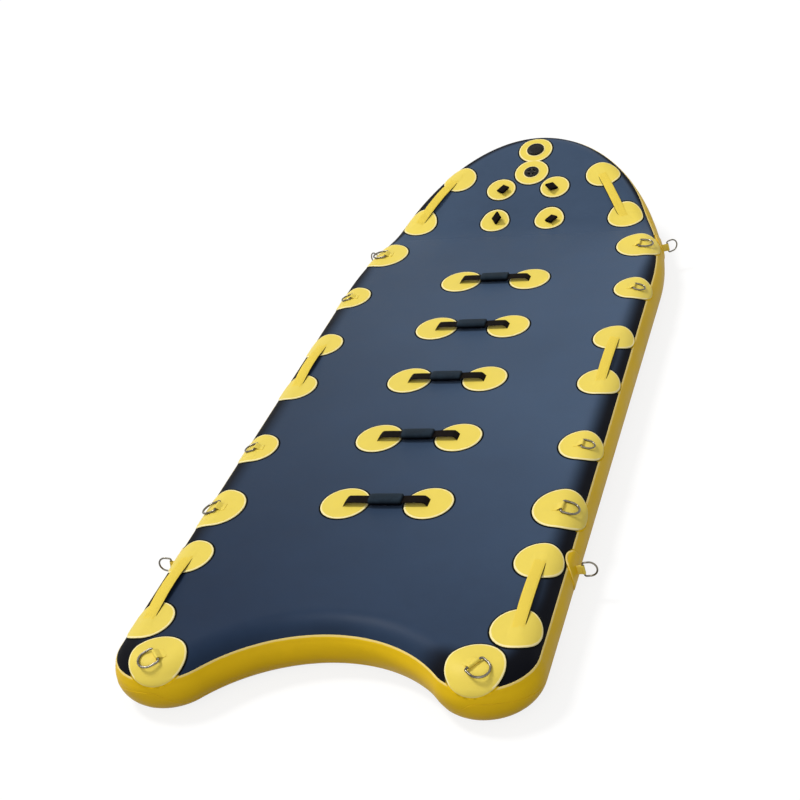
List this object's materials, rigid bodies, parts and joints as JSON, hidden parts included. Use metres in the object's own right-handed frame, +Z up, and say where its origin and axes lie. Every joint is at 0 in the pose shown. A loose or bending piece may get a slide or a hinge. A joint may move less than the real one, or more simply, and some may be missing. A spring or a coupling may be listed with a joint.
{
  "type": "inflatable rescue sled",
  "caption": "Flat drop-stitch inflatable rescue board with a turned-up nose, a notched tail, yellow rails, grab handles along the middle and sides, and D-rings round the edge.",
  "frame": {"origin": "on the ground under the middle of the board's bounding box", "axes": "+Y along the board to its turned-up nose, +X to the right seen from the tail, +Z up"},
  "size_m": [1.2226, 3.1431, 0.3273],
  "materials": {
    "deck_fabric": "coated drop-stitch fabric, navy, fine woven grain under a satin coating",
    "bottom_fabric": "coated drop-stitch fabric, navy, satin",
    "sidewall_fabric": "yellow coated fabric tape, satin",
    "patch_fabric": "yellow reinforced PVC patch, satin, welded",
    "core_yarn": "undyed polyester yarn and woven base cloth",
    "handle_band": "yellow coated webbing",
    "black_webbing": "woven black webbing",
    "grip_rubber": "black moulded grip sleeve, matt",
    "stainless_steel": "polished stainless steel wire",
    "valve_plastic": "black moulded valve plastic, satin",
    "spring_steel": "stainless spring wire"
  },
  "bodies": {
    "board": {"bottom_skin": "bottom_fabric", "centre_handle_grip_1": "grip_rubber", "centre_handle_grip_2": "grip_rubber", "centre_handle_grip_3": "grip_rubber", "centre_handle_grip_4": "grip_rubber", "centre_handle_grip_5": "grip_rubber", "centre_handle_strap_1": "black_webbing", "centre_handle_strap_2": "black_webbing", "centre_handle_strap_3": "black_webbing", "centre_handle_strap_4": "black_webbing", "centre_handle_strap_5": "black_webbing", "deck_skin": "deck_fabric", "drop_stitch_core": "core_yarn", "inflation_valve_body": "valve_plastic", "inflation_valve_spring": "spring_steel", "relief_valve_body": "valve_plastic", "relief_valve_spring": "spring_steel", "ring_patch_bow_left": "patch_fabric", "ring_patch_bow_right": "patch_fabric", "ring_patch_corner_left": "patch_fabric", "ring_patch_corner_right": "patch_fabric", "ring_patch_quarter_left": "patch_fabric", "ring_patch_quarter_right": "patch_fabric", "ring_patch_shoulder_left": "patch_fabric", "ring_patch_shoulder_right": "patch_fabric", "ring_patch_side_front_left": "patch_fabric", "ring_patch_side_front_right": "patch_fabric", "ring_patch_side_rear_left": "patch_fabric", "ring_patch_side_rear_right": "patch_fabric", "ring_patch_waist_left": "patch_fabric", "ring_patch_waist_right": "patch_fabric", "side_handle_middle_left": "handle_band", "side_handle_middle_right": "handle_band", "side_handle_nose_left": "handle_band", "side_handle_nose_right": "handle_band", "side_handle_tail_left": "handle_band", "side_handle_tail_right": "handle_band", "sidewall_left": "sidewall_fabric", "sidewall_right": "sidewall_fabric"},
    "ring_bow_left": {"ring_bow_left": "stainless_steel"},
    "ring_bow_right": {"ring_bow_right": "stainless_steel"},
    "ring_corner_left": {"ring_corner_left": "stainless_steel"},
    "ring_corner_right": {"ring_corner_right": "stainless_steel"},
    "ring_quarter_left": {"ring_quarter_left": "stainless_steel"},
    "ring_quarter_right": {"ring_quarter_right": "stainless_steel"},
    "ring_shoulder_left": {"ring_shoulder_left": "stainless_steel"},
    "ring_shoulder_right": {"ring_shoulder_right": "stainless_steel"},
    "ring_side_front_left": {"ring_side_front_left": "stainless_steel"},
    "ring_side_front_right": {"ring_side_front_right": "stainless_steel"},
    "ring_side_rear_left": {"ring_side_rear_left": "stainless_steel"},
    "ring_side_rear_right": {"ring_side_rear_right": "stainless_steel"},
    "ring_waist_left": {"ring_waist_left": "stainless_steel"},
    "ring_waist_right": {"ring_waist_right": "stainless_steel"},
    "nose_loop_front_left": {"nose_loop_front_left": "black_webbing"},
    "nose_loop_front_right": {"nose_loop_front_right": "black_webbing"},
    "nose_loop_rear_left": {"nose_loop_rear_left": "black_webbing"},
    "nose_loop_rear_right": {"nose_loop_rear_right": "black_webbing"},
    "inflation_valve_cap": {"inflation_valve_cap": "valve_plastic"},
    "inflation_valve_plunger": {"inflation_valve_plunger": "valve_plastic"},
    "relief_valve_disc": {"relief_valve_disc": "valve_plastic"}
  },
  "joints": [
    {"name": "ring_bow_left_hinge", "type": "hinge", "parent": "board", "child": "ring_bow_left", "pos_m": [-0.45796, 0.86831, 0.1576], "axis": [0, 1, 0], "range_deg": [0, 176]},
    {"name": "ring_bow_right_hinge", "type": "hinge", "parent": "board", "child": "ring_bow_right", "pos_m": [0.45796, 0.86831, 0.1576], "axis": [0, -1, 0], "range_deg": [0, 176]},
    {"name": "ring_corner_left_hinge", "type": "hinge", "parent": "board", "child": "ring_corner_left", "pos_m": [-0.4049, -1.51095, 0.15632], "axis": [-0.6401, 0.755, 0.1426], "range_deg": [0, 176]},
    {"name": "ring_corner_right_hinge", "type": "hinge", "parent": "board", "child": "ring_corner_right", "pos_m": [0.4049, -1.51095, 0.15632], "axis": [-0.6401, -0.755, -0.1426], "range_deg": [0, 176]},
    {"name": "ring_quarter_left_hinge", "type": "hinge", "parent": "board", "child": "ring_quarter_left", "pos_m": [-0.49207, -0.82669, 0.15671], "axis": [0, 1, 0], "range_deg": [0, 181]},
    {"name": "ring_quarter_right_hinge", "type": "hinge", "parent": "board", "child": "ring_quarter_right", "pos_m": [0.49207, -0.82669, 0.15671], "axis": [0, -1, 0], "range_deg": [0, 181]},
    {"name": "ring_shoulder_left_hinge", "type": "hinge", "parent": "board", "child": "ring_shoulder_left", "pos_m": [-0.48983, 0.52231, 0.15651], "axis": [0, 1, 0], "range_deg": [0, 180]},
    {"name": "ring_shoulder_right_hinge", "type": "hinge", "parent": "board", "child": "ring_shoulder_right", "pos_m": [0.48983, 0.52231, 0.15651], "axis": [0, -1, 0], "range_deg": [0, 180]},
    {"name": "ring_side_front_left_hinge", "type": "hinge", "parent": "board", "child": "ring_side_front_left", "pos_m": [-0.53531, 0.98515, 0.0848], "axis": [0.1021, -0.0225, 0.9945], "range_deg": [-56, 104]},
    {"name": "ring_side_front_right_hinge", "type": "hinge", "parent": "board", "child": "ring_side_front_right", "pos_m": [0.53531, 0.98515, 0.0848], "axis": [0.1021, 0.0225, -0.9945], "range_deg": [-56, 104]},
    {"name": "ring_side_rear_left_hinge", "type": "hinge", "parent": "board", "child": "ring_side_rear_left", "pos_m": [-0.57329, -1.01649, 0.0848], "axis": [0.1045, 0, 0.9945], "range_deg": [-80, 80]},
    {"name": "ring_side_rear_right_hinge", "type": "hinge", "parent": "board", "child": "ring_side_rear_right", "pos_m": [0.57329, -1.01649, 0.0848], "axis": [0.1045, 0, -0.9945], "range_deg": [-80, 80]},
    {"name": "ring_waist_left_hinge", "type": "hinge", "parent": "board", "child": "ring_waist_left", "pos_m": [-0.48983, -0.49769, 0.15651], "axis": [0, 1, 0], "range_deg": [0, 180]},
    {"name": "ring_waist_right_hinge", "type": "hinge", "parent": "board", "child": "ring_waist_right", "pos_m": [0.48983, -0.49769, 0.15651], "axis": [0, -1, 0], "range_deg": [0, 180]},
    {"name": "nose_loop_front_left_flop", "type": "hinge", "parent": "board", "child": "nose_loop_front_left", "pos_m": [-0.101, 1.24314, 0.23562], "axis": [-0.6157, -0.7291, -0.299], "range_deg": [-6, 158]},
    {"name": "nose_loop_front_right_flop", "type": "hinge", "parent": "board", "child": "nose_loop_front_right", "pos_m": [0.101, 1.24314, 0.23562], "axis": [-0.6428, 0.7087, 0.2907], "range_deg": [-12, 152]},
    {"name": "nose_loop_rear_left_flop", "type": "hinge", "parent": "board", "child": "nose_loop_rear_left", "pos_m": [-0.101, 1.08877, 0.17296], "axis": [0.491, -0.8258, -0.2776], "range_deg": [-34, 130]},
    {"name": "nose_loop_rear_right_flop", "type": "hinge", "parent": "board", "child": "nose_loop_rear_right", "pos_m": [0.101, 1.08877, 0.17296], "axis": [-0.5995, -0.7586, -0.2551], "range_deg": [-6, 158]},
    {"name": "inflation_cap_turn", "type": "hinge", "parent": "board", "child": "inflation_valve_cap", "pos_m": [0.003, 1.43307, 0.30487], "axis": [0, -0.3795, 0.9252], "range_deg": [0, 110]},
    {"name": "inflation_plunger_press", "type": "slide", "parent": "board", "child": "inflation_valve_plunger", "axis": [0, 0.3795, -0.9252], "range_m": [0, 0.005], "stiffness_N_per_m": 300, "deforming": ["inflation_valve_spring"]},
    {"name": "relief_disc_lift", "type": "slide", "parent": "board", "child": "relief_valve_disc", "axis": [0, -0.3795, 0.9252], "range_m": [0, 0.004], "stiffness_N_per_m": 400, "deforming": ["relief_valve_spring"]}
  ]
}
